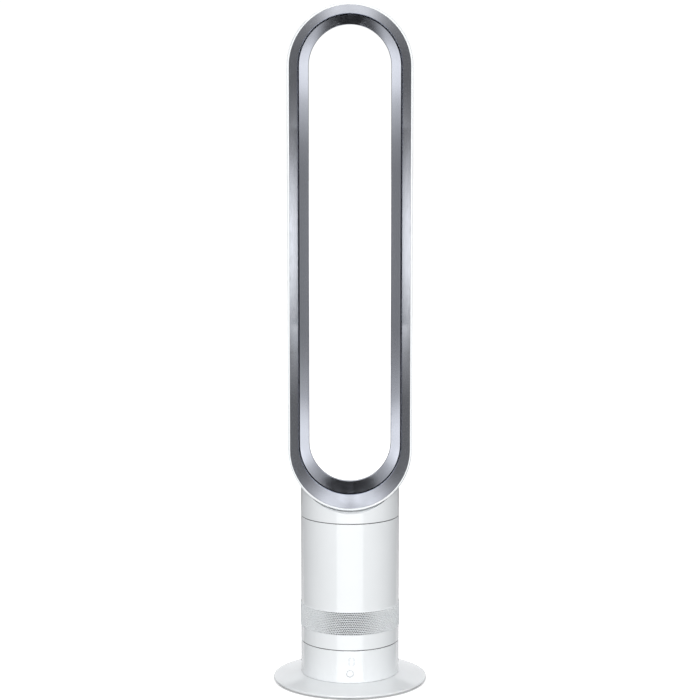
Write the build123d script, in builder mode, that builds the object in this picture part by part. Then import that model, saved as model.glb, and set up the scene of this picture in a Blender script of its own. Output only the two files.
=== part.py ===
"""Free-standing tower fan with a hollow loop outlet, every piece as its own solid.

Millimetres, +Z up, front towards -Y, origin on the column's axis at the floor.
"""
from build123d import *
import os
from math import acos, asin, atan2, cos, hypot, pi, radians, sin, tan

os.makedirs("parts", exist_ok=True)

# Overall sizes
total_height = 1007.0
loop_width = 181.8
loop_height = 738.3
loop_depth = 110.0
body_radius = 73.2
grille_radius = 74.1
base_radius = 114.6

# Levels above the floor
foot_height = 2.6
plate_rim_top = 6.3
housing_bottom = 13.1
lower_seam = 62.4
grille_bottom = 85.5
grille_top = 120.6
upper_seam = 252.4

# Walls, gaps and fits
shell_wall = 2.4
seam_gap = 1.0
fit_gap = 0.15
slide_gap = 0.3
running_gap = 0.05
press_gap = 0.02
hidden_gap = 0.2
edge_round = 0.6

# Screws and their holes
screw_radius = 1.45
pilot_radius = 1.5
clearance_radius = 1.8

# Loop section: n is the distance from the loop's middle line, y the depth
loop_radius = loop_width / 2
straight_length = loop_height - loop_width
upper_arc_z = total_height - loop_radius
lower_arc_z = upper_arc_z - straight_length
loop_front = -loop_depth / 2
loop_back = loop_depth / 2
casing_wall = 2.4
rim_inner = 87.65
rim_round = 1.8
rim_back = -49.0
wall_end = -5.0
nose_radius = 10.5
lip_n = 64.54
lip_front = 38.2
duct_wall = 2.2
duct_joint = 0.1
duct_bend_count = 10
duct_edge_n = 3.8
duct_edge_y = 3.8
duct_corner_n = 72.7
duct_corner_y = -3.6
throat_n = 60.6
throat_y = 22.0
throat_front_curve = 8.0
throat_curve = 20.0
throat_turn = radians(58)
trim_wall = 2.0
trim_edge_n = 75.7
trim_edge_y = -6.6
bevel_front = -54.6
skirt_back = -26.0
duct_inlet_radius = 42.0
duct_inlet_top = lower_arc_z - 82.0
spacer_pitch = 70.0
spacer_count = 8
spacer_outer_n = 69.04
spacer_start = 0.1
spacer_depth = 1.0
spacer_half_height = 1.0

# Foot disc
plate_edge = 1.2
plate_hub_radius = body_radius + 1.3
weight_radius = 89.4
weight_bottom = 2.8
weight_top = 7.0
recess_top = 7.2
pad_radius = 7.0
pad_circle = 99.0
pad_count = 6
pad_start = 30
pad_edge = 0.5
base_screw_circle = 55.0
base_screw_count = 4
base_screw_start = 45
base_head_radius = 3.0
base_head_room = 3.5
base_head_bottom = 5.0
base_screw_top = 24.0

# Lower housing and its deck
floor_thickness = 2.5
foot_groove_height = 0.5
foot_groove_depth = 1.5
housing_top = lower_seam - seam_gap / 2
housing_bore = body_radius - shell_wall
wall_cut_near = 60.0
wall_cut_far = 80.0
boss_radius = 4.5
boss_top = 28.0
boss_roof = 2.0
deck_bottom = 56.3
deck_top = 59.3
deck_clearance = 0.4
deck_post_x = 58.0
deck_post_y = 33.5
deck_post_radius = 4.2
deck_pilot_bottom = 39.7
deck_screw_bottom = 41.7
deck_head_radius = 2.7
deck_head_height = 1.8

# Push button
button_z = 27.7
button_radius = 4.8
button_gap = 0.5
button_round = 0.35
button_back = -69.8
button_flange_radius = 6.2
button_flange_back = -68.4
button_stem_radius = 2.2
button_stem_back = -63.2
button_room = 10.0

# Cord gland
gland_z = 25.0
gland_radius = 7.0
gland_flange_radius = 9.5
gland_bore = 3.7
gland_inner_end = 66.0
gland_seat = 73.4
gland_outer_end = 77.0
gland_round = 1.2

# Electronics
board_back = -56.0
board_front = -57.6
board_half_width = 30.0
board_bottom = 16.0
board_top = 53.0
rail_lap = 1.5
rail_wall = 3.0
rail_front = -60.0
rail_back = -53.5
rail_top = 40.0
switch_half = 3.0
switch_front = -60.7
plunger_radius = 1.75
plunger_front = -61.9
display_x = 3.2
display_z = 45.7
display_half_width = 9.0
display_half_height = 6.5
display_front = -69.0
receiver_x = -16.0
receiver_half_width = 3.0
receiver_half_height = 3.5
receiver_front = -61.0
receiver_lens_radius = 2.4
receiver_lens_front = -63.0
receiver_lens_rise = 0.5
terminal_half_width = 12.0
terminal_near = 46.0
terminal_far = 57.0
terminal_top = 24.0
terminal_pitch = 7.0
terminal_well_radius = 2.2
terminal_well_bottom = 21.0

# Blocks on the board: limits across, height over the board, limits upwards
processor = ((-22.0, -10.0), 2.2, (24.0, 34.0))
relay = ((4.0, 22.0), 8.0, (38.0, 46.0))
transformer = ((14.0, 24.0), 10.0, (20.0, 32.0))

# Turning joint
post_radius = 15.0
post_bore = 9.0
post_top = 76.7
post_edge = 0.8
groove_radius = 13.4
groove_bottom = 73.3
groove_top = 74.8
retainer_radius = 18.0
retainer_gap = 0.1
retainer_mouth = 5.0
turntable_bottom = lower_seam + seam_gap / 2
turntable_floor = 63.2
turntable_floor_top = 66.2
turntable_rim_width = 8.0
sleeve_radius = 19.0
sleeve_bottom = 60.3
sleeve_top = 73.0
thrust_inner = 56.0
thrust_outer = 64.0
thrust_gap = 0.1
wiper_outer = 72.5
wiper_inner = 70.9

# Swing drive
gear_module = 1.0
pressure_angle = radians(20)
tooth_foot = 1.25
flank_steps = 4
ring_teeth = 72
pinion_teeth = 18
gear_bottom = 60.0
gear_top = turntable_floor
gear_bore = 24.0
gear_screw_circle = 28.0
gear_screw_count = 4
gear_screw_start = 45
gear_head_radius = 2.7
gear_head_room = 2.9
gear_head_depth = 1.5
gear_head_gap = 0.1
pinion_top = 62.8
backlash = 0.16
mesh_distance = gear_module * (ring_teeth + pinion_teeth) / 2
drive_shaft_radius = 2.5
drive_shaft_bottom = 48.7
drive_shaft_well = 47.7
can_y = mesh_distance - 8.0
can_radius = 14.0
can_bottom = 36.5
can_top = 55.5
ear_reach = 17.5
ear_width = 7.0
spout_radius = 3.8
spout_room = 4.0
spout_gap = 0.4
socket_half_width = 7.3
socket_near = can_y - 12.0
socket_far = can_y - 17.0
socket_bottom = 37.7
socket_top = 53.7
ear_screw_radius = 1.25
ear_screw_depth = 2.4
ear_pilot_radius = 1.3
ear_pilot_depth = 2.6
ear_head_radius = 2.6
ear_head_bottom = 53.7

# Perforated band
spigot_length = 5.0
spigot_wall = 1.6
band_wall = 2.0
band_web = 1.4
band_edge = 0.4
hole_radius = 1.7
hole_columns = 60
hole_rows = 7
hole_pitch = 4.4
hole_margin = 4.35
hole_start = 1.0
hole_depth = 4.0

# Mesh sleeve behind the holes
mesh_outer = 68.8
mesh_inner = 68.2
mesh_bottom = 81.0
mesh_top = 125.2

# Foam rings in the air path
intake_foam_outer = 69.0
intake_foam_inner = 22.0
intake_foam_gap = 0.3
intake_foam_top = 78.7
outlet_foam_outer = 70.5
outlet_foam_inner = 66.0
outlet_foam_bottom = 216.0
outlet_foam_top = 234.0

# Impeller duct, points as (radius, height)
shell_bottom = grille_top
shell_top = upper_seam - seam_gap / 2
eye_radius = 38.0
duct_bottom = 130.5
duct_swell = (45.0, 153.0)
duct_bend = (58.0, 172.0)
duct_radius = 63.0
duct_wide_z = 192.0
duct_top = 226.0
duct_skin = 2.0
duct_skin_wide_z = 191.6
duct_skin_bend = (60.0, 171.0)
duct_skin_swell = (46.9, 152.2)
duct_skin_foot = (40.2, 132.5)
inlet_flange_radius = 48.0
mouth_top = 130.3
mouth_flange_bottom = 128.3
mouth_neck_radius = 40.0
mouth_lip_radius = 46.0
mouth_lip_top = 122.3
mouth_lip_bottom = 120.3
seal_inner = 48.2
seal_outer = 70.5
seal_lip_inner = 69.3
seal_bottom = 129.0
seal_web_top = 130.6
seal_lip_top = 134.0
mount_count = 3
mount_start = 90
mount_circle = 67.75
mount_depth = 4.6
mount_width = 12.0
mount_height = 14.0
mount_bottom = 200.0

# Impeller, points as (radius, height)
impeller_bottom = 131.0
impeller_top = 166.0
blade_count = 9
blade_thickness = 1.4
blade_root = (12.0, 0.0)
blade_belly = (34.0, 9.0)
blade_tip = (50.0, 32.0)
shroud_inner = 6.0
shroud_foot = 37.0
shroud_swell = (44.0, 153.0)
shroud_rim = 52.0
hub_foot = 13.0
hub_swell = (21.5, 150.0)
hub_rim = 40.0
hub_bottom = 130.5
hub_top = 167.6
hollow_inner = 8.5
hollow_foot = (13.0, 138.0)
hollow_swell = (20.0, 152.5)
hollow_rim = 36.5
nut_radius = 7.5
nut_bottom = 126.5
nut_height = 3.8

# Impeller motor
motor_shaft_radius = 4.0
motor_shaft_bottom = 125.0
motor_shaft_top = 204.0
motor_shaft_edge = 0.6
rotor_radius = 13.2
rotor_bottom = 178.0
rotor_top = 197.5
stator_outer = 26.0
stator_inner = 14.0
stator_bottom = 177.5
stator_top = 198.0
winding_circle = 19.5
winding_count = 12
winding_radius = 2.6
bearing_radius = 9.0
bearing_height = 5.0
bearing_levels = (171.2, 198.8)
bearing_gap = 0.03
bucket_radius = 40.0
bucket_wall = 2.0
bucket_bottom = 168.5
bucket_floor = 171.0
bucket_split = 205.0
bucket_top = 228.0
bucket_eye = 5.0
bearing_seat_inner = 9.1
bearing_seat_outer = 11.5
bearing_seat_top = 176.5
cap_curve_z = 208.0
cap_flat_radius = 20.0
cap_seat_bottom = 199.0
cap_stop_bottom = 204.2
cap_stop_top = 207.0
isolator_levels = (179.0, 192.0)
isolator_height = 4.0
isolator_gap = 0.1
vane_count = 13
vane_ring_wall = 1.4
vane_ring_bottom = 190.0
vane_ring_top = 204.5
vane_foot = 41.0
vane_middle = 198.0
vane_span = 21.2
vane_outline = [(-3.2, -5.6), (-1.8, -5.6), (3.2, 5.6), (1.8, 5.6)]

# Collar
collar_bottom = upper_seam + seam_gap / 2
collar_top = 301.0
collar_bore = 69.0
collar_floor = collar_bottom + 3.0
collar_roof = 4.0
seat_room = 5.0
spigot_radius = 70.5
spigot_bore = 67.0
spigot_bottom = 246.0
collar_seal_radius = 72.4
collar_screw_angle = 36.0
collar_screw_y = 18.0
collar_screw_tip = 85.0
collar_head_radius = 3.0
collar_head_height = 2.1
collar_head_gap = 0.1
collar_boss_radius = 3.6
collar_boss_top = 84.0
gasket_width = 4.0
gasket_inset = 0.5
gasket_bottom = 258.0
gasket_top = 299.0


def tube(outer, inner, bottom, top, mode=Mode.ADD):
    """Adds a plain round tube, or a disc where inner is zero, on the column's axis."""
    with BuildSketch(Plane.XY.offset(bottom)) as section:
        Circle(outer)
        if inner > 0:
            Circle(inner, mode=Mode.SUBTRACT)
    extrude(section.sketch, amount=top - bottom, mode=mode)


def turned(*points):
    """Adds the solid turned from a closed outline of (radius, height) points."""
    with BuildSketch(Plane.XZ) as section:
        with BuildLine():
            Polyline(*points, close=True)
        make_face()
    revolve(section.sketch, axis=Axis.Z)


def rods(spots, radius, bottom, top, mode=Mode.ADD):
    """Adds one upright round rod at every (x, y) spot."""
    with BuildSketch(Plane.XY.offset(bottom)) as section:
        with Locations(*spots):
            Circle(radius)
    extrude(section.sketch, amount=top - bottom, mode=mode)


def block(x_range, y_range, z_range, mode=Mode.ADD):
    """Adds a block between two limits along each axis."""
    with BuildSketch(Plane.XY.offset(z_range[0])) as section:
        with Locations((sum(x_range) / 2, sum(y_range) / 2)):
            Rectangle(x_range[1] - x_range[0], y_range[1] - y_range[0])
    extrude(section.sketch, amount=z_range[1] - z_range[0], mode=mode)


def around(middle, half):
    """Limits at an even distance on both sides of a middle."""
    return (middle - half, middle + half)


def front_rod(x, z, radius, y_from, y_to, mode=Mode.ADD):
    """Adds a round rod that lies along Y."""
    with BuildSketch(Plane.XZ.offset(-y_from)) as section:
        with Locations((x, z)):
            Circle(radius)
    extrude(section.sketch, amount=y_from - y_to, mode=mode)


def circle_spots(radius, count, start=0.0):
    """Spots evenly round a circle, start in degrees."""
    angles = [radians(start + 360 * k / count) for k in range(count)]
    return [(radius * cos(a), radius * sin(a)) for a in angles]


def run_round_loop(outline, mode=Mode.ADD):
    """Runs a section outline round the loop's two straights and two half rings."""
    with BuildSketch(Plane.XY.offset(lower_arc_z)) as sides:
        make_face(outline.edges())
        mirror(about=Plane.YZ)
    extrude(sides.sketch, amount=straight_length, mode=mode)
    with BuildSketch(Plane.XY.offset(upper_arc_z)) as top:
        make_face(outline.edges())
    revolve(top.sketch, axis=Axis((0, 0, upper_arc_z), (0, -1, 0)), revolution_arc=180, mode=mode)
    with BuildSketch(Plane.XY.offset(lower_arc_z)) as bottom:
        make_face(outline.edges())
    revolve(bottom.sketch, axis=Axis((0, 0, lower_arc_z), (0, 1, 0)), revolution_arc=180, mode=mode)


# Curve of the casing's back: one large arc between the plain wall and the rear nose
nose_n = lip_n + nose_radius
nose_y = loop_back - nose_radius
wall_to_nose = loop_radius - nose_n
wall_run = nose_y - wall_end
back_radius = (wall_to_nose**2 + wall_run**2 - nose_radius**2) / (2 * (wall_to_nose - nose_radius))
nose_cos = (nose_n - loop_radius + back_radius) / (back_radius - nose_radius)
nose_sin = wall_run / (back_radius - nose_radius)


def skin_points(depth):
    """Where the casing's skin, at a depth under its surface, changes from curve to curve."""
    reach = nose_radius - depth
    wall = (loop_radius - depth, wall_end)
    turn = (nose_n + reach * nose_cos, nose_y + reach * nose_sin)
    lip = (nose_n - reach, nose_y)
    return wall, turn, lip


def seat_outline(clearance):
    """Half section of the room that the loop takes in the collar, open to front and rear."""
    far = body_radius + seat_room
    wall, turn, lip = skin_points(-clearance)
    with BuildLine() as outline:
        Line((0, -far), (wall[0], -far))
        Line((wall[0], -far), wall)
        TangentArc(wall, turn, tangent=(0, 1))
        Line(turn, (turn[0], far))
        Line((turn[0], far), (0, far))
        Line((0, far), (0, -far))
    return outline


# Foot disc with its recess and screw holes
base_screw_spots = circle_spots(base_screw_circle, base_screw_count, base_screw_start)
with BuildPart() as base_plate:
    rim_side = base_radius - plate_edge
    with BuildSketch(Plane.XZ) as plate_section:
        with BuildLine():
            Line((0, foot_height), (rim_side, foot_height))
            Line((rim_side, foot_height), (base_radius, foot_height + plate_edge))
            Line((base_radius, foot_height + plate_edge), (base_radius, plate_rim_top - plate_edge))
            TangentArc(
                (base_radius, plate_rim_top - plate_edge),
                (rim_side, plate_rim_top),
                tangent=(0, 1),
            )
            Line((rim_side, plate_rim_top), (plate_hub_radius, housing_bottom))
            Line((plate_hub_radius, housing_bottom), (0, housing_bottom))
            Line((0, housing_bottom), (0, foot_height))
        make_face()
    revolve(axis=Axis.Z)
    tube(weight_radius + slide_gap, 0, foot_height, recess_top, mode=Mode.SUBTRACT)
    rods(base_screw_spots, clearance_radius, foot_height, housing_bottom, mode=Mode.SUBTRACT)

with BuildPart() as base_weight:
    tube(weight_radius, 0, weight_bottom, weight_top)
    rods(base_screw_spots, base_head_room, weight_bottom, weight_top, mode=Mode.SUBTRACT)

with BuildPart() as foot_pads:
    rods(circle_spots(pad_circle, pad_count, pad_start), pad_radius, 0, foot_height)
    chamfer(foot_pads.edges().group_by(Axis.Z)[0], pad_edge)

with BuildPart() as base_screws:
    rods(base_screw_spots, base_head_radius, base_head_bottom, recess_top)
    rods(base_screw_spots, screw_radius, recess_top, base_screw_top)

# Lower part of the column
deck_spots = [(x, y) for x in (-deck_post_x, deck_post_x) for y in (-deck_post_y, deck_post_y)]
with BuildPart() as base_housing:
    tube(body_radius, 0, housing_bottom, housing_top)
    fillet(base_housing.edges().sort_by(Axis.Z)[-1], edge_round)
    groove_bore = body_radius - foot_groove_depth
    tube(body_radius, groove_bore, housing_bottom, housing_bottom + foot_groove_height, mode=Mode.SUBTRACT)
    tube(housing_bore, 0, housing_bottom + floor_thickness, housing_top, mode=Mode.SUBTRACT)
    rods(base_screw_spots, boss_radius, housing_bottom, boss_top)
    rods(deck_spots, deck_post_radius, housing_bottom, deck_bottom)
    rods(base_screw_spots, pilot_radius, housing_bottom, boss_top - boss_roof, mode=Mode.SUBTRACT)
    rods(deck_spots, pilot_radius, deck_pilot_bottom, deck_bottom, mode=Mode.SUBTRACT)
    slot_depth = (board_front - fit_gap, board_back + fit_gap)
    for side in (-1, 1):
        lap_edge = side * (board_half_width - rail_lap)
        rail_edges = sorted((lap_edge, side * (board_half_width + rail_wall)))
        slot_edges = sorted((lap_edge, side * (board_half_width + fit_gap)))
        block(rail_edges, (rail_front, rail_back), (housing_bottom, rail_top))
        block(slot_edges, slot_depth, (board_bottom, rail_top), mode=Mode.SUBTRACT)
    button_hole = button_radius + button_gap
    front_rod(0, button_z, button_hole, -wall_cut_near, -wall_cut_far, mode=Mode.SUBTRACT)
    front_rod(0, gland_z, gland_radius + fit_gap, wall_cut_far, wall_cut_near, mode=Mode.SUBTRACT)

ear_spots = [(-ear_reach, can_y), (ear_reach, can_y)]
drive_spot = [(0, mesh_distance)]
with BuildPart() as base_deck:
    tube(housing_bore - deck_clearance, post_bore, deck_bottom, deck_top)
    tube(post_radius, post_bore, deck_top, post_top)
    chamfer(base_deck.edges().sort_by(Axis.Z)[-1], post_edge)
    tube(post_radius, groove_radius, groove_bottom, groove_top, mode=Mode.SUBTRACT)
    rods(deck_spots, clearance_radius, deck_bottom, deck_top, mode=Mode.SUBTRACT)
    rods(drive_spot, spout_room, deck_bottom, deck_top, mode=Mode.SUBTRACT)
    rods(ear_spots, ear_pilot_radius, deck_bottom, deck_bottom + ear_pilot_depth, mode=Mode.SUBTRACT)

with BuildPart() as deck_screws:
    rods(deck_spots, deck_head_radius, deck_top, deck_top + deck_head_height)
    rods(deck_spots, screw_radius, deck_screw_bottom, deck_top)

# Electronics in the lower housing
with BuildPart() as control_board:
    block(around(0, board_half_width), (board_front, board_back), (board_bottom, board_top))
    for across, height, upwards in (processor, relay, transformer):
        block(across, (board_back, board_back + height), upwards)

with BuildPart() as button_switch:
    block(around(0, switch_half), (switch_front, board_front), around(button_z, switch_half))
    front_rod(0, button_z, plunger_radius, switch_front, plunger_front)

with BuildPart() as led_display:
    display_width = around(display_x, display_half_width)
    block(display_width, (display_front, board_front), around(display_z, display_half_height))

with BuildPart() as remote_receiver:
    receiver_width = around(receiver_x, receiver_half_width)
    block(receiver_width, (receiver_front, board_front), around(display_z, receiver_half_height))
    lens_z = display_z + receiver_lens_rise
    front_rod(receiver_x, lens_z, receiver_lens_radius, receiver_front, receiver_lens_front)

with BuildPart() as terminal_block:
    terminal_bottom = housing_bottom + floor_thickness
    block(around(0, terminal_half_width), (terminal_near, terminal_far), (terminal_bottom, terminal_top))
    well_y = (terminal_near + terminal_far) / 2
    well_spots = [(terminal_pitch * k, well_y) for k in (-1, 0, 1)]
    rods(well_spots, terminal_well_radius, terminal_well_bottom, terminal_top, mode=Mode.SUBTRACT)

with BuildPart() as cord_gland:
    front_rod(0, gland_z, gland_radius, gland_seat, gland_inner_end)
    front_rod(0, gland_z, gland_flange_radius, gland_outer_end, gland_seat)
    fillet(cord_gland.edges().sort_by(Axis.Y)[-1], gland_round)
    front_rod(0, gland_z, gland_bore, gland_outer_end, gland_inner_end, mode=Mode.SUBTRACT)

# Push button: its face follows the housing's curve
with BuildPart() as power_button:
    front_rod(0, button_z, button_radius, button_back, -wall_cut_far)
    with BuildSketch(Plane.XY.offset(button_z - button_room)):
        Circle(body_radius)
    extrude(amount=2 * button_room, mode=Mode.INTERSECT)
    fillet(power_button.edges().sort_by(Axis.Y)[0:1], button_round)
    front_rod(0, button_z, button_flange_radius, button_flange_back, button_back)
    front_rod(0, button_z, button_stem_radius, button_stem_back, button_flange_back)

# Motor that swings the column
with BuildPart() as oscillation_motor:
    rods([(0, can_y)], can_radius, can_bottom, can_top)
    with BuildSketch(Plane.XY.offset(can_top)):
        with Locations((0, can_y)):
            SlotCenterToCenter(2 * ear_reach, ear_width)
    extrude(amount=deck_bottom - can_top)
    rods(drive_spot, spout_radius, can_top, deck_top - spout_gap)
    rods(drive_spot, drive_shaft_radius + running_gap, drive_shaft_well, deck_top, mode=Mode.SUBTRACT)
    rods(ear_spots, clearance_radius, can_top, deck_bottom, mode=Mode.SUBTRACT)
    block(around(0, socket_half_width), (socket_far, socket_near), (socket_bottom, socket_top))

with BuildPart() as oscillation_motor_screws:
    rods(ear_spots, ear_head_radius, ear_head_bottom, can_top)
    rods(ear_spots, ear_screw_radius, can_top, deck_bottom + ear_screw_depth)

with BuildPart() as drive_shaft:
    rods(drive_spot, drive_shaft_radius, drive_shaft_bottom, pinion_top)


def gear_points(teeth):
    """Outline of an involute spur gear as (x, y) points, a tooth centred on +X."""
    pitch = gear_module * teeth / 2
    base = pitch * cos(pressure_angle)
    tip = pitch + gear_module
    root = pitch - tooth_foot * gear_module
    half_tooth = pi / (2 * teeth) - backlash / (2 * pitch)
    pitch_roll = tan(pressure_angle) - pressure_angle
    flank = []
    for k in range(flank_steps + 1):
        radius = base + (tip - base) * k / flank_steps
        roll = acos(base / radius)
        flank.append((radius, half_tooth + pitch_roll - tan(roll) + roll))
    foot_angle = flank[0][1]
    outline = []
    for tooth in range(teeth):
        middle = 2 * pi * tooth / teeth
        polar = [(root, middle - foot_angle)]
        polar += [(r, middle - a) for r, a in flank]
        polar += [(r, middle + a) for r, a in reversed(flank)]
        polar += [(root, middle + foot_angle)]
        outline += [(r * cos(a), r * sin(a)) for r, a in polar]
    return outline


with BuildPart() as drive_pinion:
    with BuildSketch(Plane.XY.offset(gear_bottom)):
        with BuildLine():
            Polyline(*[(x, y + mesh_distance) for x, y in gear_points(pinion_teeth)], close=True)
        make_face()
    extrude(amount=pinion_top - gear_bottom)
    rods(drive_spot, drive_shaft_radius + press_gap, gear_bottom, pinion_top, mode=Mode.SUBTRACT)

gear_screw_spots = circle_spots(gear_screw_circle, gear_screw_count, gear_screw_start)
gear_head_seat = gear_bottom + gear_head_depth
with BuildPart() as ring_gear:
    with BuildSketch(Plane.XY.offset(gear_bottom)):
        with BuildLine():
            Polyline(*gear_points(ring_teeth), close=True)
        make_face()
        Circle(gear_bore, mode=Mode.SUBTRACT)
    extrude(amount=gear_top - gear_bottom)
    rods(gear_screw_spots, clearance_radius, gear_bottom, gear_top, mode=Mode.SUBTRACT)
    rods(gear_screw_spots, gear_head_room, gear_bottom, gear_head_seat, mode=Mode.SUBTRACT)

with BuildPart() as gear_screws:
    rods(gear_screw_spots, gear_head_radius, gear_bottom + gear_head_gap, gear_head_seat)
    rods(gear_screw_spots, screw_radius, gear_head_seat, turntable_floor_top)

with BuildPart() as thrust_ring:
    tube(thrust_outer, thrust_inner, deck_top, turntable_floor - thrust_gap)

with BuildPart() as dust_wiper:
    tube(wiper_outer, wiper_inner, housing_top, turntable_bottom - fit_gap)

with BuildPart() as retaining_ring:
    tube(retainer_radius, groove_radius + retainer_gap, groove_bottom + fit_gap, groove_top - fit_gap)
    mouth = around(0, retainer_mouth)
    block(mouth, (0.0, retainer_radius), (groove_bottom, groove_top), mode=Mode.SUBTRACT)

# Turning cup that carries the column
with BuildPart() as turntable:
    tube(body_radius, 0, turntable_bottom, grille_bottom)
    fillet(turntable.edges().sort_by(Axis.Z)[0], edge_round)
    tube(housing_bore, 0, turntable_floor_top, grille_bottom, mode=Mode.SUBTRACT)
    tube(sleeve_radius, 0, sleeve_bottom, sleeve_top)
    tube(post_radius + running_gap, 0, sleeve_bottom, sleeve_top, mode=Mode.SUBTRACT)
    relief_radius = body_radius - turntable_rim_width
    tube(relief_radius, sleeve_radius, turntable_bottom, turntable_floor, mode=Mode.SUBTRACT)
    rods(gear_screw_spots, pilot_radius, turntable_bottom, turntable_floor_top, mode=Mode.SUBTRACT)

with BuildPart() as intake_foam:
    foam_bottom = turntable_floor_top + intake_foam_gap
    tube(intake_foam_outer, intake_foam_inner, foam_bottom, intake_foam_top)

# Perforated band: staggered rows of holes, a spigot above and below
with BuildPart() as inlet_grille:
    spigot_outer = housing_bore - hidden_gap
    spigot_inner = spigot_outer - spigot_wall
    band_inner = grille_radius - band_wall
    turned(
        (spigot_inner, grille_bottom - spigot_length),
        (spigot_outer, grille_bottom - spigot_length),
        (spigot_outer, grille_bottom),
        (grille_radius, grille_bottom),
        (grille_radius, grille_top),
        (spigot_outer, grille_top),
        (spigot_outer, grille_top + spigot_length),
        (spigot_inner, grille_top + spigot_length),
        (spigot_inner, grille_top - band_web),
        (band_inner, grille_top - band_web),
        (band_inner, grille_bottom + band_web),
        (spigot_inner, grille_bottom + band_web),
    )
    round_edges = inlet_grille.edges().filter_by(GeomType.CIRCLE)
    chamfer(round_edges.filter_by(lambda e: e.radius > grille_radius - fit_gap), band_edge)
    turn_step = 360 / hole_columns
    for row in range(hole_rows):
        row_z = grille_bottom + hole_margin + hole_pitch * row
        for column in range(hole_columns):
            turn = radians(turn_step * (column + 0.5 * (row % 2)))
            across = Plane(origin=(0, 0, row_z), z_dir=(cos(turn), sin(turn), 0))
            with BuildSketch(across.offset(band_inner - hole_start)):
                Circle(hole_radius)
    extrude(amount=hole_depth, mode=Mode.SUBTRACT)

with BuildPart() as inlet_mesh:
    tube(mesh_outer, mesh_inner, mesh_bottom, mesh_top)

with BuildPart() as body_shell:
    tube(body_radius, 0, shell_bottom, shell_top)
    fillet(body_shell.edges().sort_by(Axis.Z)[-1], edge_round)
    tube(housing_bore, 0, shell_bottom, shell_top, mode=Mode.SUBTRACT)

# Impeller, its duct and its motor
with BuildPart() as impeller_housing:
    duct_edge = duct_radius + duct_skin
    flange_top = duct_skin_foot[1]
    with BuildSketch(Plane.XZ) as duct_section:
        with BuildLine():
            ThreePointArc((eye_radius, duct_bottom), duct_swell, duct_bend)
            Polyline(
                duct_bend,
                (duct_radius, duct_wide_z),
                (duct_radius, duct_top),
                (duct_edge, duct_top),
                (duct_edge, duct_skin_wide_z),
                duct_skin_bend,
            )
            ThreePointArc(duct_skin_bend, duct_skin_swell, duct_skin_foot)
            Polyline(
                duct_skin_foot,
                (inlet_flange_radius, flange_top),
                (inlet_flange_radius, duct_bottom),
                (eye_radius, duct_bottom),
            )
        make_face()
    revolve(axis=Axis.Z)

with BuildPart() as inlet_bellmouth:
    with BuildSketch(Plane.XZ) as mouth_section:
        with BuildLine():
            Polyline(
                (eye_radius, mouth_flange_bottom),
                (eye_radius, mouth_top),
                (inlet_flange_radius, mouth_top),
                (inlet_flange_radius, mouth_flange_bottom),
                (mouth_neck_radius, mouth_flange_bottom),
            )
            TangentArc(
                (mouth_neck_radius, mouth_flange_bottom),
                (mouth_lip_radius, mouth_lip_top),
                tangent=(0, -1),
            )
            Line((mouth_lip_radius, mouth_lip_top), (mouth_lip_radius, mouth_lip_bottom))
            TangentArc(
                (mouth_lip_radius, mouth_lip_bottom),
                (eye_radius, mouth_flange_bottom),
                tangent=(-1, 0),
            )
        make_face()
    revolve(axis=Axis.Z)

with BuildPart() as housing_seal:
    turned(
        (seal_inner, seal_bottom),
        (seal_outer, seal_bottom),
        (seal_outer, seal_lip_top),
        (seal_lip_inner, seal_lip_top),
        (seal_lip_inner, seal_web_top),
        (seal_inner, seal_web_top),
    )

with BuildPart() as housing_mounts:
    for k in range(mount_count):
        turn = 360 / mount_count * k + mount_start
        with BuildSketch(Plane.XY.offset(mount_bottom).rotated((0, 0, turn))):
            with Locations((mount_circle, 0)):
                Rectangle(mount_depth, mount_width)
    extrude(amount=mount_height)

# One blade in plan; all of them are cut to the duct's shape
with BuildSketch() as blade_section:
    with BuildLine():
        ThreePointArc(blade_root, blade_belly, blade_tip)
    trace(line_width=blade_thickness)

with BuildPart() as impeller:
    with BuildSketch(Plane.XY.offset(impeller_bottom)):
        with PolarLocations(0, blade_count):
            add(blade_section.sketch)
    extrude(amount=impeller_top - impeller_bottom)
    with BuildSketch(Plane.XZ):
        with BuildLine():
            ThreePointArc((shroud_foot, impeller_bottom), shroud_swell, (shroud_rim, impeller_top))
            Polyline(
                (shroud_rim, impeller_top),
                (shroud_inner, impeller_top),
                (shroud_inner, impeller_bottom),
                (shroud_foot, impeller_bottom),
            )
        make_face()
    revolve(axis=Axis.Z, mode=Mode.INTERSECT)
    with BuildSketch(Plane.XZ):
        with BuildLine():
            ThreePointArc((hub_foot, hub_bottom), hub_swell, (hub_rim, impeller_top))
            Polyline(
                (hub_rim, impeller_top),
                (hub_rim, hub_top),
                (motor_shaft_radius, hub_top),
                (motor_shaft_radius, hub_bottom),
                (hub_foot, hub_bottom),
            )
        make_face()
    revolve(axis=Axis.Z)
    with BuildSketch(Plane.XZ):
        with BuildLine():
            ThreePointArc(hollow_foot, hollow_swell, (hollow_rim, hub_top))
            Polyline(
                (hollow_rim, hub_top),
                (hollow_inner, hub_top),
                (hollow_inner, hollow_foot[1]),
                hollow_foot,
            )
        make_face()
    revolve(axis=Axis.Z, mode=Mode.SUBTRACT)
    tube(motor_shaft_radius + press_gap, 0, hub_bottom, hub_top, mode=Mode.SUBTRACT)

with BuildPart() as impeller_nut:
    with BuildSketch(Plane.XY.offset(nut_bottom)):
        RegularPolygon(radius=nut_radius, side_count=6)
        Circle(motor_shaft_radius + press_gap, mode=Mode.SUBTRACT)
    extrude(amount=nut_height)

with BuildPart() as motor_shaft:
    tube(motor_shaft_radius, 0, motor_shaft_bottom, motor_shaft_top)
    chamfer(motor_shaft.edges().sort_by(Axis.Z)[0], motor_shaft_edge)

with BuildPart() as motor_rotor:
    tube(rotor_radius, motor_shaft_radius + press_gap, rotor_bottom, rotor_top)

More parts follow.
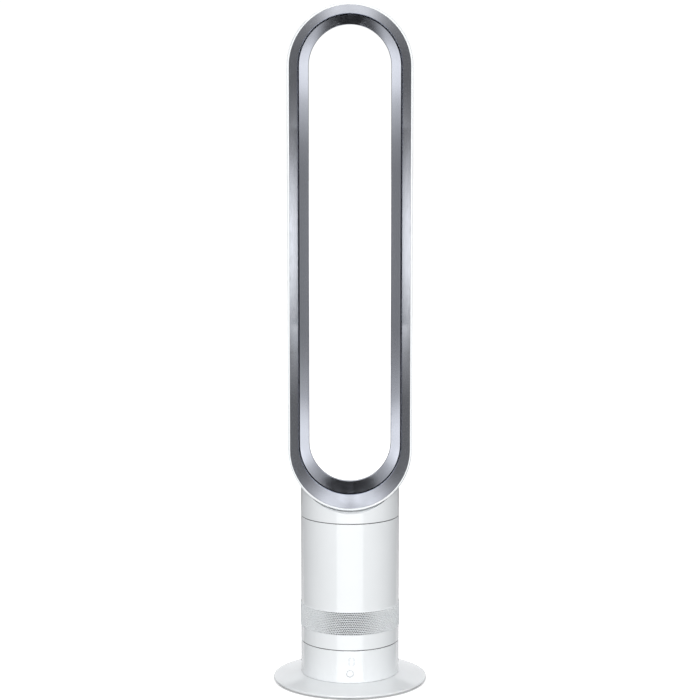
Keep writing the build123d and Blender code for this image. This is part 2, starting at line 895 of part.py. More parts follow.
with BuildPart() as motor_stator:
    tube(stator_outer, stator_inner, stator_bottom, stator_top)
    winding_spots = circle_spots(winding_circle, winding_count)
    rods(winding_spots, winding_radius, stator_bottom, stator_top, mode=Mode.SUBTRACT)

with BuildPart() as shaft_bearings:
    for level in bearing_levels:
        tube(bearing_radius, motor_shaft_radius + bearing_gap, level, level + bearing_height)

bucket_inner = bucket_radius - bucket_wall
with BuildPart() as motor_bucket:
    turned(
        (bucket_eye, bucket_bottom),
        (bucket_radius, bucket_bottom),
        (bucket_radius, bucket_split),
        (bucket_inner, bucket_split),
        (bucket_inner, bucket_floor),
        (bearing_seat_outer, bucket_floor),
        (bearing_seat_outer, bearing_seat_top),
        (bearing_seat_inner, bearing_seat_top),
        (bearing_seat_inner, bucket_floor),
        (bucket_eye, bucket_floor),
    )

with BuildPart() as motor_bucket_cap:
    cap_bottom = bucket_split + hidden_gap
    cap_ceiling = bucket_top - bucket_wall
    with BuildSketch(Plane.XZ):
        with BuildLine():
            Line((bucket_radius, cap_bottom), (bucket_radius, cap_curve_z))
            TangentArc((bucket_radius, cap_curve_z), (cap_flat_radius, bucket_top), tangent=(0, 1))
            Polyline(
                (cap_flat_radius, bucket_top),
                (0, bucket_top),
                (0, cap_ceiling),
                (cap_flat_radius, cap_ceiling),
            )
            TangentArc((cap_flat_radius, cap_ceiling), (bucket_inner, cap_curve_z), tangent=(1, 0))
            Polyline(
                (bucket_inner, cap_curve_z),
                (bucket_inner, cap_bottom),
                (bucket_radius, cap_bottom),
            )
        make_face()
    revolve(axis=Axis.Z)
    tube(bearing_seat_outer, bearing_seat_inner, cap_seat_bottom, bucket_top - bucket_wall / 2)
    tube(bearing_seat_outer, bucket_eye, cap_stop_bottom, cap_stop_top)

with BuildPart() as motor_isolators:
    for level in isolator_levels:
        tube(bucket_inner - isolator_gap, stator_outer + isolator_gap, level, level + isolator_height)

with BuildPart() as diffuser_vanes:
    vane_ring_inner = bucket_radius + hidden_gap
    tube(bucket_radius + vane_ring_wall, vane_ring_inner, vane_ring_bottom, vane_ring_top)
    for k in range(vane_count):
        turn = radians(360 * k / vane_count)
        outward = (cos(turn), sin(turn), 0)
        sideways = (-sin(turn), cos(turn), 0)
        foot = (vane_foot * cos(turn), vane_foot * sin(turn), vane_middle)
        with BuildSketch(Plane(origin=foot, x_dir=sideways, z_dir=outward)):
            with BuildLine():
                Polyline(*vane_outline, close=True)
            make_face()
    extrude(amount=vane_span)

with BuildPart() as outlet_foam:
    tube(outlet_foam_outer, outlet_foam_inner, outlet_foam_bottom, outlet_foam_top)

# Collar: the neck with the seat that the loop stands in
with BuildPart() as loop_room:
    run_round_loop(seat_outline(seam_gap))

with BuildPart() as roof_room:
    run_round_loop(seat_outline(seam_gap + collar_roof))

with BuildPart() as collar_hollow:
    tube(collar_bore, 0, collar_floor, collar_top)
    add(roof_room.part, mode=Mode.SUBTRACT)

collar_screw_planes = []
for side in (-1, 1):
    for depth in (-collar_screw_y, collar_screw_y):
        lean = radians(collar_screw_angle) * side
        collar_screw_planes.append(
            Plane(origin=(0, depth, lower_arc_z), x_dir=(0, 1, 0), z_dir=(sin(lean), 0, -cos(lean)))
        )


def collar_rods(radius, near, far, mode=Mode.ADD):
    """Adds a rod along each collar screw between two distances from the lower arc's axis."""
    for plane in collar_screw_planes:
        with BuildSketch(plane.offset(near)) as section:
            Circle(radius)
        extrude(section.sketch, amount=far - near, mode=mode)


roof_n = loop_radius + seam_gap + collar_roof
head_seat = roof_n + collar_head_gap
head_top = head_seat + collar_head_height
with BuildPart() as loop_collar:
    tube(body_radius, 0, collar_bottom, collar_top)
    fillet(loop_collar.edges().sort_by(Axis.Z)[0], edge_round)
    add(loop_room.part, mode=Mode.SUBTRACT)
    add(collar_hollow.part, mode=Mode.SUBTRACT)
    tube(spigot_radius, 0, spigot_bottom, collar_floor)
    tube(spigot_bore, 0, spigot_bottom, collar_floor, mode=Mode.SUBTRACT)
    tube(duct_inlet_radius, 0, spigot_bottom, collar_top, mode=Mode.SUBTRACT)
    collar_rods(clearance_radius, loop_radius - collar_roof, head_top, mode=Mode.SUBTRACT)

with BuildPart() as collar_seal:
    seal_bore = spigot_radius + running_gap
    tube(collar_seal_radius, seal_bore, shell_top + running_gap, collar_bottom - running_gap)

# Loop: white casing, silver wall inside, silver ring at the front
with BuildLine() as casing_outline:
    wall, turn, lip = skin_points(0)
    inner_wall, inner_turn, inner_lip = skin_points(casing_wall)
    rim_top = (loop_radius - rim_round, loop_front)
    rim_side = (loop_radius, loop_front + rim_round)
    Line((rim_inner, loop_front), rim_top)
    TangentArc(rim_top, rim_side, tangent=(1, 0))
    Line(rim_side, wall)
    back = TangentArc(wall, turn, tangent=(0, 1))
    TangentArc(turn, lip, tangent=back % 1)
    Polyline(lip, (lip[0], lip_front), (inner_lip[0], lip_front), inner_lip)
    inner_nose = TangentArc(inner_lip, inner_turn, tangent=(0, 1))
    TangentArc(inner_turn, inner_wall, tangent=inner_nose % 1)
    Polyline(
        inner_wall,
        (inner_wall[0], rim_back),
        (rim_inner, rim_back),
        (rim_inner, loop_front),
    )

with BuildPart() as loop_casing:
    run_round_loop(casing_outline)
    tube(duct_inlet_radius, 0, collar_bottom, duct_inlet_top, mode=Mode.SUBTRACT)
    collar_rods(collar_boss_radius, collar_boss_top, loop_radius - casing_wall / 2)
    collar_rods(pilot_radius, collar_boss_top, loop_radius + casing_wall, mode=Mode.SUBTRACT)

# Curve of the inner wall: straight from its front corner, a tight arc to the throat, a wide one behind it
front_centre = (throat_n + throat_front_curve, throat_y)
rear_centre = (throat_n + throat_curve, throat_y)
to_centre = (front_centre[0] - duct_corner_n, front_centre[1] - duct_corner_y)
centre_reach = hypot(*to_centre)
heading = atan2(*to_centre) - asin(throat_front_curve / centre_reach)


def throat_point(centre, radius, angle):
    """Point on one of the throat's arcs or on its concentric back face."""
    return (centre[0] - radius * cos(angle), centre[1] + radius * sin(angle))


flange_n = loop_radius - casing_wall - hidden_gap
flange_front = duct_corner_y + duct_edge_y
flange_back = flange_front + duct_wall
faces = []
for depth in (0.0, duct_wall):
    front_radius = throat_front_curve - depth
    rear_radius = throat_curve - depth
    faces.append(
        [
            throat_point(front_centre, front_radius, heading),
            throat_point(front_centre, front_radius, heading / 2),
            throat_point(front_centre, front_radius, 0.0),
            throat_point(rear_centre, rear_radius, throat_turn / 2),
            throat_point(rear_centre, rear_radius, throat_turn),
        ]
    )
inner_face, back_face = faces
back_corner_n = back_face[0][0] + (back_face[0][1] - flange_back) * tan(-heading)
with BuildLine() as duct_outline:
    Polyline(
        (flange_n, flange_front),
        (duct_corner_n + duct_edge_n, flange_front),
        (duct_corner_n, duct_corner_y),
        inner_face[0],
    )
    ThreePointArc(*inner_face[:3])
    ThreePointArc(*inner_face[2:])
    Line(inner_face[4], back_face[4])
    ThreePointArc(*back_face[:1:-1])
    ThreePointArc(*back_face[2::-1])
    Polyline(
        back_face[0],
        (back_corner_n, flange_back),
        (flange_n, flange_back),
        (flange_n, flange_front),
    )

# The inner wall is moulded as two straights and rows of short bends that meet in hairline joints
with BuildPart() as loop_inner_duct:
    run_round_loop(duct_outline)
    for arc_z, way in ((upper_arc_z, -1), (lower_arc_z, 1)):
        turns = [way * 180 * k / duct_bend_count for k in range(duct_bend_count + 1)]
        with Locations(*[Location((0, 0, arc_z), (0, turn, 0)) for turn in turns]):
            outward = (Align.MIN, Align.CENTER, Align.CENTER)
            Box(loop_radius, loop_depth, duct_joint, align=outward, mode=Mode.SUBTRACT)

trim_outer = rim_inner - fit_gap
bevel_slope = (trim_edge_y - bevel_front) / (trim_outer - trim_edge_n)
bevel_tilt = atan2(bevel_slope, 1.0)
trim_back_n = trim_edge_n + trim_wall * sin(bevel_tilt)
trim_back_y = trim_edge_y + trim_wall * cos(bevel_tilt)
skirt_n = trim_outer - trim_wall
skirt_y = trim_back_y - bevel_slope * (skirt_n - trim_back_n)
with BuildLine() as trim_outline:
    Polyline(
        (trim_edge_n, trim_edge_y),
        (trim_outer, bevel_front),
        (trim_outer, skirt_back),
        (skirt_n, skirt_back),
        (skirt_n, skirt_y),
        (trim_back_n, trim_back_y),
        close=True,
    )

with BuildPart() as loop_front_trim:
    run_round_loop(trim_outline)

with BuildPart() as gasket_inside:
    run_round_loop(seat_outline(running_gap))

with BuildPart() as gasket_outside:
    run_round_loop(seat_outline(seam_gap - running_gap))

with BuildPart() as loop_gasket:
    gasket_inner = duct_inlet_radius + gasket_inset
    tube(gasket_inner + gasket_width, gasket_inner, gasket_bottom, gasket_top)
    add(gasket_outside.part, mode=Mode.INTERSECT)
    add(gasket_inside.part, mode=Mode.SUBTRACT)

with BuildPart() as collar_screws:
    collar_rods(collar_head_radius, head_seat, head_top)
    collar_rods(screw_radius, collar_screw_tip, head_seat)

# Ribs that hold the lip and the inner wall apart along the straights
with BuildPart() as slot_spacers:
    spacer_front = lip_front + spacer_start
    spacer_inner_n = lip_n + casing_wall + running_gap
    loop_middle = (upper_arc_z + lower_arc_z) / 2
    for k in range(spacer_count):
        middle = loop_middle + spacer_pitch * (k - (spacer_count - 1) / 2)
        for side in (-1, 1):
            edges = sorted((side * spacer_inner_n, side * spacer_outer_n))
            depth = (spacer_front, spacer_front + spacer_depth)
            block(edges, depth, around(middle, spacer_half_height))

pieces = {
    "base_plate": base_plate,
    "base_weight": base_weight,
    "foot_pads": foot_pads,
    "base_screws": base_screws,
    "base_housing": base_housing,
    "base_deck": base_deck,
    "deck_screws": deck_screws,
    "control_board": control_board,
    "button_switch": button_switch,
    "led_display": led_display,
    "remote_receiver": remote_receiver,
    "terminal_block": terminal_block,
    "cord_gland": cord_gland,
    "power_button": power_button,
    "oscillation_motor": oscillation_motor,
    "oscillation_motor_screws": oscillation_motor_screws,
    "drive_shaft": drive_shaft,
    "drive_pinion": drive_pinion,
    "ring_gear": ring_gear,
    "gear_screws": gear_screws,
    "thrust_ring": thrust_ring,
    "dust_wiper": dust_wiper,
    "retaining_ring": retaining_ring,
    "turntable": turntable,
    "intake_foam": intake_foam,
    "inlet_grille": inlet_grille,
    "inlet_mesh": inlet_mesh,
    "body_shell": body_shell,
    "impeller_housing": impeller_housing,
    "inlet_bellmouth": inlet_bellmouth,
    "housing_seal": housing_seal,
    "housing_mounts": housing_mounts,
    "impeller": impeller,
    "impeller_nut": impeller_nut,
    "motor_shaft": motor_shaft,
    "motor_rotor": motor_rotor,
    "motor_stator": motor_stator,
    "shaft_bearings": shaft_bearings,
    "motor_bucket": motor_bucket,
    "motor_bucket_cap": motor_bucket_cap,
    "motor_isolators": motor_isolators,
    "diffuser_vanes": diffuser_vanes,
    "outlet_foam": outlet_foam,
    "loop_collar": loop_collar,
    "collar_seal": collar_seal,
    "loop_gasket": loop_gasket,
    "loop_casing": loop_casing,
    "loop_inner_duct": loop_inner_duct,
    "loop_front_trim": loop_front_trim,
    "collar_screws": collar_screws,
    "slot_spacers": slot_spacers,
}
for name, piece in pieces.items():
    piece.part.label = name
    export_step(piece.part, f"parts/{name}.step")
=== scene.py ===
"""Loop-type tower fan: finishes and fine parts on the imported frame, and a plain white studio.

Metres, +Z up, front towards -Y, origin on the column's axis at the floor.
"""
import math

import bpy
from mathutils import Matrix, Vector


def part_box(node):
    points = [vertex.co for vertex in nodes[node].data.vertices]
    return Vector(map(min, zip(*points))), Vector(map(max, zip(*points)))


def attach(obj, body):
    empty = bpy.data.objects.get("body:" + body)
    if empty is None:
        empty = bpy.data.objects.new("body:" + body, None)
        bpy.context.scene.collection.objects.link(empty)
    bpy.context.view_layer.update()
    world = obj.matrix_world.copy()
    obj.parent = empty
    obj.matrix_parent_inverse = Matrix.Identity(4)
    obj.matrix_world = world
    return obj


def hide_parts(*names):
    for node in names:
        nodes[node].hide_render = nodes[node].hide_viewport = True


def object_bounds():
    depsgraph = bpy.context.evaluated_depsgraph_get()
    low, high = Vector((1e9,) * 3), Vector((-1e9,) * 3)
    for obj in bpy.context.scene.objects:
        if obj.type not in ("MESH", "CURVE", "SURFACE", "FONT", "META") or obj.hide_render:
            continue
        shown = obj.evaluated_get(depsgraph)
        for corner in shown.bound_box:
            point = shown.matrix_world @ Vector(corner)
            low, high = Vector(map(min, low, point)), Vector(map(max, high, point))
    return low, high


bl_info = {
    "name": "Loop tower fan",
    "version": (1, 0, 0),
    "blender": (4, 5, 0),
    "location": "View3D > Sidebar > Tower fan",
    "description": "Finishes and fine parts of a loop-type tower fan on its fixed frame",
    "category": "Object",
}

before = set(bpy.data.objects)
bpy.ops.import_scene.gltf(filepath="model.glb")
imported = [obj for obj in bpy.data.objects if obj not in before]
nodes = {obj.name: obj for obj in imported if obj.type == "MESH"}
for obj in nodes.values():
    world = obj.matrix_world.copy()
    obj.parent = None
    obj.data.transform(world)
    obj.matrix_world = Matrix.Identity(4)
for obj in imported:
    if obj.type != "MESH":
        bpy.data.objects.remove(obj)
cad_low, cad_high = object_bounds()

MM = 0.001
TURN = 2 * math.pi
# Length of one period of a wave texture of scale 1
WAVE_TURN = TURN / 20
WHITE = "FFFFFF"


def linear(hex_colour):
    """Linear RGBA of an sRGB hex colour."""
    channels = [int(hex_colour[k:k + 2], 16) / 255 for k in (0, 2, 4)]
    light = [c / 12.92 if c <= 0.04045 else ((c + 0.055) / 1.055) ** 2.4 for c in channels]
    return (*light, 1.0)


def colour_property(name, description, hex_colour):
    """A colour that a user can change, stated as sRGB hex."""
    return bpy.props.FloatVectorProperty(
        name=name,
        description=description,
        subtype="COLOR",
        size=4,
        min=0.0,
        max=1.0,
        default=linear(hex_colour),
    )


def length_property(name, description, size):
    """A length that a user can change, in metres."""
    return bpy.props.FloatProperty(name=name, description=description, unit="LENGTH", default=size)


def angle_property(name, description, degrees):
    """An angle that a user can change, stated in degrees."""
    angle = math.radians(degrees)
    return bpy.props.FloatProperty(name=name, description=description, subtype="ANGLE", default=angle)


def brightness_property(name, description, brightness):
    """A brightness that a user can change."""
    return bpy.props.FloatProperty(name=name, description=description, min=0.0, default=brightness)


class FinishSettings(bpy.types.PropertyGroup):
    """Colours of the fan's finishes."""

    shell: colour_property("Shell white", "Gloss white of the casing, column and foot", "E8EBED")
    silver: colour_property("Silver", "Lacquer of the loop's bevel and inner wall", "C3C6CE")
    rubber: colour_property("Rubber", "Pads, seals, mounts and gland", "242426")
    nylon: colour_property("Dark moulding", "Impeller, ducts and motor casing", "33343A")
    acetal: colour_property("Acetal", "Gears, sliding ring and terminal block", "EAE6DA")
    zinc: colour_property("Zinc plate", "Screws, rings and ballast plate", "B9BDC3")
    iron: colour_property("Core steel", "Motor cores", "85878C")
    board: colour_property("Solder mask", "Circuit board", "1F5A3C")
    foam: colour_property("Foam", "Sound-absorbing rings", "4A4B50")
    numeral: colour_property("Numeral", "Unlit figure behind the front wall", "D3D7DB")


class WallSettings(bpy.types.PropertyGroup):
    """Section of the silver wall inside the loop: distances from its middle line, and depths."""

    edge: length_property("Edge", "From the middle line to the front edge", 74.07 * MM)
    edge_depth: length_property("Edge depth", "Depth of the front edge, forwards negative", -6.27 * MM)
    throat: length_property("Throat", "From the middle line to the narrowest place", 60.6 * MM)
    throat_depth: length_property("Throat depth", "Depth of the narrowest place", 22.0 * MM)
    front_curve: length_property("Front curve", "Radius before the throat", 8.0 * MM)
    rear_curve: length_property("Rear curve", "Radius behind the throat", 20.0 * MM)
    rear_turn: angle_property("Rear turn", "How far the rear curve turns", 58)
    thickness: length_property("Thickness", "Thickness of the wall and its flange", 2.2 * MM)
    flange_depth: length_property("Flange depth", "Depth of the flange's front face", 0.2 * MM)


class GrilleSettings(bpy.types.PropertyGroup):
    """Sizes of the perforated band."""

    columns: bpy.props.IntProperty(name="Columns", description="Holes round the band", default=172, min=24)
    rows: bpy.props.IntProperty(name="Rows", description="Rows of holes", default=13, min=1)
    hole_radius: length_property("Hole radius", "Radius of one hole", 1.18 * MM)
    wall: length_property("Wall", "Thickness of the perforated wall", 2.8 * MM)
    margin: length_property("Margin", "Plain strip above and below the holes", 0.4 * MM)
    chamfer: length_property("Chamfer", "Bevel of the band's two outer edges", 0.4 * MM)
    spigot_wall: length_property("Spigot wall", "Thickness of the rings inside the shells", 1.6 * MM)
    spigot_length: length_property("Spigot length", "How far the band reaches into the shells", 5.0 * MM)


class NumeralSettings(bpy.types.PropertyGroup):
    """Sizes of the figure that shows through the front wall."""

    width: length_property("Width", "Width of the figure", 9.2 * MM)
    height: length_property("Height", "Height of the figure", 12.4 * MM)
    stroke: length_property("Stroke", "Width of one segment", 1.7 * MM)
    gap: length_property("Gap", "Gap between two segments", 0.5 * MM)
    proud: length_property("Proud", "How far the figure stands out of the wall", 0.03 * MM)
    shift: length_property("Shift", "How far its middle lies to the right of the fan's", 2.3 * MM)
    middle: length_property("Middle", "Height of its middle over the floor", 45.7 * MM)


class StudioSettings(bpy.types.PropertyGroup):
    """Camera and light."""

    camera_distance: length_property("Camera distance", "From the column's axis to the lens", 3.151)
    camera_height: length_property("Camera height", "Height of the lens over the floor", 0.919)
    camera_tilt: angle_property("Camera tilt", "How far the camera looks down", 7.575)
    lens: bpy.props.FloatProperty(name="Lens", description="Focal length", unit="CAMERA", default=110.45)
    floor_half: length_property("Floor size", "Half the width of the floor", 14.0)
    floor: colour_property("Floor", "Matt white of the floor", "F7F7F7")
    floor_glow: brightness_property("Floor glow", "Light from under the floor", 0.75)
    overhead: brightness_property("Overhead box", "Brightness of the box above", 1.1)
    front: brightness_property("Front box", "Brightness of the box by the camera", 14.0)
    card: brightness_property("Cards", "Brightness of the cards behind the loop", 1.9)


def add_node(tree, kind, inputs=None, stops=(), **settings):
    """Adds a shader node with its attributes, its inputs, sockets or constants, and its ramp's stops."""
    made = tree.nodes.new("ShaderNode" + kind)
    for name, value in settings.items():
        setattr(made, name, value)
    for name, value in (inputs or {}).items():
        if isinstance(value, bpy.types.NodeSocket):
            tree.links.new(value, made.inputs[name])
        else:
            made.inputs[name].default_value = value
    for k, (place, colour) in enumerate(stops):
        elements = made.color_ramp.elements
        element = elements[k] if k < len(elements) else elements.new(place)
        element.position = place
        element.color = colour
    return made


def start_material(name):
    """An empty node material, its tree and its place in metres."""
    material = bpy.data.materials.new(name)
    material.use_nodes = True
    tree = material.node_tree
    tree.nodes.clear()
    return material, tree, add_node(tree, "TexCoord").outputs["Object"]


def finish_material(tree, colour, rough, height, depth, strength=0.3, **constants):
    """Puts colour, roughness and bump on a principled shader, with constants on its own sockets."""
    bump = add_node(tree, "Bump", {"Height": height, "Strength": strength, "Distance": depth})
    inputs = {"Base Color": colour, "Roughness": rough, "Normal": bump.outputs["Normal"]}
    inputs.update({name.replace("_", " "): value for name, value in constants.items()})
    shader = add_node(tree, "BsdfPrincipled", inputs)
    add_node(tree, "OutputMaterial", {"Surface": shader.outputs[0]})
    return shader


def shade(colour, factor):
    """A colour made darker or lighter by a factor."""
    return (*[min(1.0, c * factor) for c in colour[:3]], 1.0)


def grey(level):
    """A neutral ramp colour, used for roughness and masks."""
    return (level, level, level, 1.0)


def gloss_moulded_abs(colour):
    """Gloss injection-moulded ABS: clean mirror-like sheen with a trace of flow waviness."""
    material, tree, place = start_material("gloss_moulded_abs")
    # Flow marks of about 40 mm shift the white by less than one percent
    noise = {"Vector": place, "Scale": 1 / (40 * MM), "Detail": 2.0}
    flow = add_node(tree, "TexNoise", noise).outputs["Fac"]
    tint = add_node(tree, "ValToRGB", {"Fac": flow}, ((0.35, shade(colour, 0.985)), (0.65, colour)))
    # Polish haze of about 6 mm
    noise = {"Vector": place, "Scale": 1 / (6 * MM), "Detail": 3.0}
    haze = add_node(tree, "TexNoise", noise).outputs["Fac"]
    rough = add_node(tree, "ValToRGB", {"Fac": haze}, ((0.3, grey(0.07)), (0.7, grey(0.11))))
    # Moulded waviness of about 3 mm and a few microns
    noise = {"Vector": place, "Scale": 1 / (3 * MM), "Detail": 1.0}
    wave = add_node(tree, "TexNoise", noise).outputs["Fac"]
    finish_material(tree, tint.outputs[0], rough.outputs[0], wave, 0.02 * MM, 0.02, IOR=1.53)
    return material


def satin_silver_lacquer(colour):
    """Aluminium-flake lacquer sprayed on ABS: satin mirror, faint flake sparkle, soft-edged reflections."""
    material, tree, place = start_material("satin_silver_lacquer")
    # Flakes are about 0.05 mm; drawn at 0.5 mm so that they show
    flake = add_node(tree, "TexVoronoi", {"Vector": place, "Scale": 1 / (0.5 * MM)}).outputs["Color"]
    value = add_node(tree, "SeparateColor", {"Color": flake}).outputs
    stops = ((0.0, shade(colour, 0.98)), (1.0, shade(colour, 1.02)))
    tint = add_node(tree, "ValToRGB", {"Fac": value["Red"]}, stops)
    # Spray mist of about 9 mm
    noise = {"Vector": place, "Scale": 1 / (9 * MM), "Detail": 2.0}
    mist = add_node(tree, "TexNoise", noise).outputs["Fac"]
    rough = add_node(tree, "ValToRGB", {"Fac": mist}, ((0.3, grey(0.15)), (0.7, grey(0.18))))
    finish_material(tree, tint.outputs[0], rough.outputs[0], value["Green"], 0.005 * MM, 0.02, Metallic=1.0)
    return material


def mottled(name, colour, spread, grain, rough_range, depth, **constants):
    """A plain moulded or rolled surface: colour, roughness and bump mottled at the grain's size."""
    material, tree, place = start_material(name)
    cloud = add_node(tree, "TexNoise", {"Vector": place, "Scale": 1 / grain, "Detail": 4.0}).outputs["Fac"]
    stops = ((0.3, shade(colour, 1 - spread)), (0.7, shade(colour, 1 + spread)))
    tint = add_node(tree, "ValToRGB", {"Fac": cloud}, stops)
    stops = ((0.3, grey(rough_range[0])), (0.7, grey(rough_range[1])))
    rough = add_node(tree, "ValToRGB", {"Fac": cloud}, stops)
    shader = finish_material(tree, tint.outputs[0], rough.outputs[0], cloud, depth, **constants)
    return material, shader


def open_cell_foam(colour):
    """Open-cell polyurethane foam: round pores darkened with painted shade between thin struts lightened
    with painted light, no gloss at all.
    """
    material, tree, place = start_material("open_cell_polyurethane_foam")
    # Pores of about 1.2 mm
    cells = add_node(tree, "TexVoronoi", {"Vector": place, "Scale": 1 / (1.2 * MM)}).outputs["Distance"]
    # Painted shade darkens the pores towards their middles, and painted light brightens the struts round
    # them
    stops = ((0.1, shade(colour, 0.25)), (0.45, colour), (0.8, shade(colour, 1.5)))
    tint = add_node(tree, "ValToRGB", {"Fac": cells}, stops)
    rough = add_node(tree, "ValToRGB", {"Fac": cells}, ((0.1, grey(1.0)), (0.8, grey(0.8))))
    finish_material(tree, tint.outputs[0], rough.outputs[0], cells, 0.8 * MM, 0.9)
    return material


MESH_THREADS = 480.0


def woven_mesh(colour):
    """Woven nylon screen: threads over and under, painted shade in their dips, a dull sheen and a painted
    highlight on their backs.
    """
    material, tree, place = start_material("woven_nylon_screen")
    axes = add_node(tree, "SeparateXYZ", {"Vector": place}).outputs
    around = add_node(tree, "Math", {0: axes["X"], 1: axes["Y"]}, operation="ARCTAN2").outputs[0]
    # Threads are 0.3 mm apart; drawn at 0.9 mm so that they show
    warp = add_node(tree, "Math", {0: around, 1: MESH_THREADS}, operation="MULTIPLY").outputs[0]
    weft = add_node(tree, "Math", {0: axes["Z"], 1: TURN / (0.9 * MM)}, operation="MULTIPLY").outputs[0]
    backs = [add_node(tree, "Math", {0: thread}, operation="SINE").outputs[0] for thread in (warp, weft)]
    weave = add_node(tree, "Math", {0: backs[0], 1: backs[1]}, operation="MULTIPLY").outputs[0]
    height = add_node(tree, "MapRange", {"Value": weave, "From Min": -1.0}).outputs["Result"]
    # Painted shade darkens the weave's low places, and a painted highlight lightens the threads' backs
    stops = ((0.2, shade(colour, 0.3)), (0.8, shade(colour, 1.2)))
    tint = add_node(tree, "ValToRGB", {"Fac": height}, stops)
    rough = add_node(tree, "ValToRGB", {"Fac": height}, ((0.2, grey(0.8)), (0.8, grey(0.45))))
    finish_material(tree, tint.outputs[0], rough.outputs[0], height, 0.15 * MM, 0.6)
    return material


def zinc_plated_steel(colour):
    """Bright zinc plate on rolled steel: crystals that catch the light singly, and fine rolling lines."""
    material, tree, place = start_material("zinc_plated_rolled_steel")
    # Crystals of about 1.5 mm
    crystal = add_node(tree, "TexVoronoi", {"Vector": place, "Scale": 1 / (1.5 * MM)}).outputs["Color"]
    value = add_node(tree, "SeparateColor", {"Color": crystal}).outputs
    stops = ((0.0, shade(colour, 0.85)), (1.0, shade(colour, 1.08)))
    tint = add_node(tree, "ValToRGB", {"Fac": value["Red"]}, stops)
    rough = add_node(tree, "ValToRGB", {"Fac": value["Blue"]}, ((0.0, grey(0.24)), (1.0, grey(0.4))))
    # Rolling lines are under 0.1 mm apart; drawn at 0.4 mm so that they show
    spacing = {"Vector": place, "Scale": WAVE_TURN / (0.4 * MM), "Distortion": 1.5}
    lines = add_node(tree, "TexWave", spacing, bands_direction="X").outputs["Fac"]
    finish_material(tree, tint.outputs[0], rough.outputs[0], lines, 0.004 * MM, 0.2, Metallic=1.0)
    return material


def laminated_core_steel(colour):
    """Stacked core sheets: dark joints between bright punched edges, level over level."""
    material, tree, place = start_material("punched_laminated_core_steel")
    # Sheets are 0.5 mm thick
    spacing = {"Vector": place, "Scale": WAVE_TURN / (0.5 * MM)}
    sheets = add_node(tree, "TexWave", spacing, bands_direction="Z").outputs["Fac"]
    tint = add_node(tree, "ValToRGB", {"Fac": sheets}, ((0.05, shade(colour, 0.35)), (0.35, colour)))
    rough = add_node(tree, "ValToRGB", {"Fac": sheets}, ((0.05, grey(0.7)), (0.35, grey(0.38))))
    finish_material(tree, tint.outputs[0], rough.outputs[0], sheets, 0.08 * MM, 0.5, Metallic=1.0)
    return material


def solder_masked_board(colour):
    """Glass-epoxy board under green solder mask: raised copper tracks show as paler, glossier runs."""
    material, tree, place = start_material("solder_masked_glass_epoxy")
    axes = add_node(tree, "SeparateXYZ", {"Vector": place}).outputs
    flat = add_node(tree, "CombineXYZ", {"X": axes["X"], "Y": axes["Z"]}).outputs[0]
    # Tracks 0.6 mm wide round fields of 6 by 2.5 mm
    sizes = {"Scale": 1.0, "Mortar Size": 0.6 * MM, "Brick Width": 6 * MM, "Row Height": 2.5 * MM}
    tracks = add_node(tree, "TexBrick", {"Vector": flat, **sizes}).outputs["Fac"]
    tint = add_node(tree, "ValToRGB", {"Fac": tracks}, ((0.0, colour), (1.0, shade(colour, 1.7))))
    rough = add_node(tree, "ValToRGB", {"Fac": tracks}, ((0.0, grey(0.38)), (1.0, grey(0.25))))
    finish_material(tree, tint.outputs[0], rough.outputs[0], tracks, 0.04 * MM, 0.5, IOR=1.5)
    return material


def dress(material, *names):
    """Gives CAD nodes a finish."""
    for name in names:
        slots = nodes[name].data.materials
        slots.clear()
        slots.append(material)


def new_piece(name, vertices, faces, material, body, sharp=math.radians(35)):
    """A new mesh piece that rides on a body, smooth but for its sharp edges."""
    mesh = bpy.data.meshes.new(name)
    mesh.from_pydata(vertices, [], faces)
    mesh.shade_smooth()
    mesh.set_sharp_from_angle(angle=sharp)
    mesh.materials.append(material)
    piece = bpy.data.objects.new(name, mesh)
    bpy.context.scene.collection.objects.link(piece)
    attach(piece, body)
    return piece


def on_column(radius, angle, height):
    """A point at a radius and height, angle counted from the front towards +X."""
    return (radius * math.sin(angle), -radius * math.cos(angle), height)


# Points along the wall's two curves, and round each end of the loop
FRONT_STEPS = 8
REAR_STEPS = 16
BEND_STEPS = 72


def wall_section(sizes, flange):
    """Closed outline of the inner wall as (distance, depth): front, throat, rear curve and flange."""
    edge = Vector((sizes.edge, sizes.edge_depth))
    front_centre = Vector((sizes.throat + sizes.front_curve, sizes.throat_depth))
    rear_centre = Vector((sizes.throat + sizes.rear_curve, sizes.throat_depth))
    reach = front_centre - edge
    heading = math.atan2(reach.x, reach.y) - math.asin(sizes.front_curve / reach.length)
    along = Vector((math.sin(heading), math.cos(heading)))
    across = Vector((math.cos(heading), -math.sin(heading)))
    flange_back = sizes.flange_depth + sizes.thickness
    front_turns = [heading * (1 - k / FRONT_STEPS) for k in range(FRONT_STEPS)]
    rear_turns = [sizes.rear_turn * k / REAR_STEPS for k in range(REAR_STEPS + 1)]

    def curve(centre, radius, turns):
        """Points round a centre, turns counted from the throat towards the rear."""
        return [centre + radius * Vector((-math.cos(turn), math.sin(turn))) for turn in turns]

    def curves(depth):
        """Both curves at a depth under the wall's face."""
        front = curve(front_centre, sizes.front_curve - depth, front_turns)
        return front + curve(rear_centre, sizes.rear_curve - depth, rear_turns)

    behind = edge + across * sizes.thickness
    outline = [edge, *curves(0.0), *reversed(curves(sizes.thickness))]
    outline.append(behind + along * (flange_back - behind.y) / along.y)
    outline += [Vector((flange, flange_back)), Vector((flange, sizes.flange_depth))]
    # The front edge falls back to the flange at 45 degrees
    outline.append(Vector((edge.x + sizes.flange_depth - edge.y, sizes.flange_depth)))
    return outline


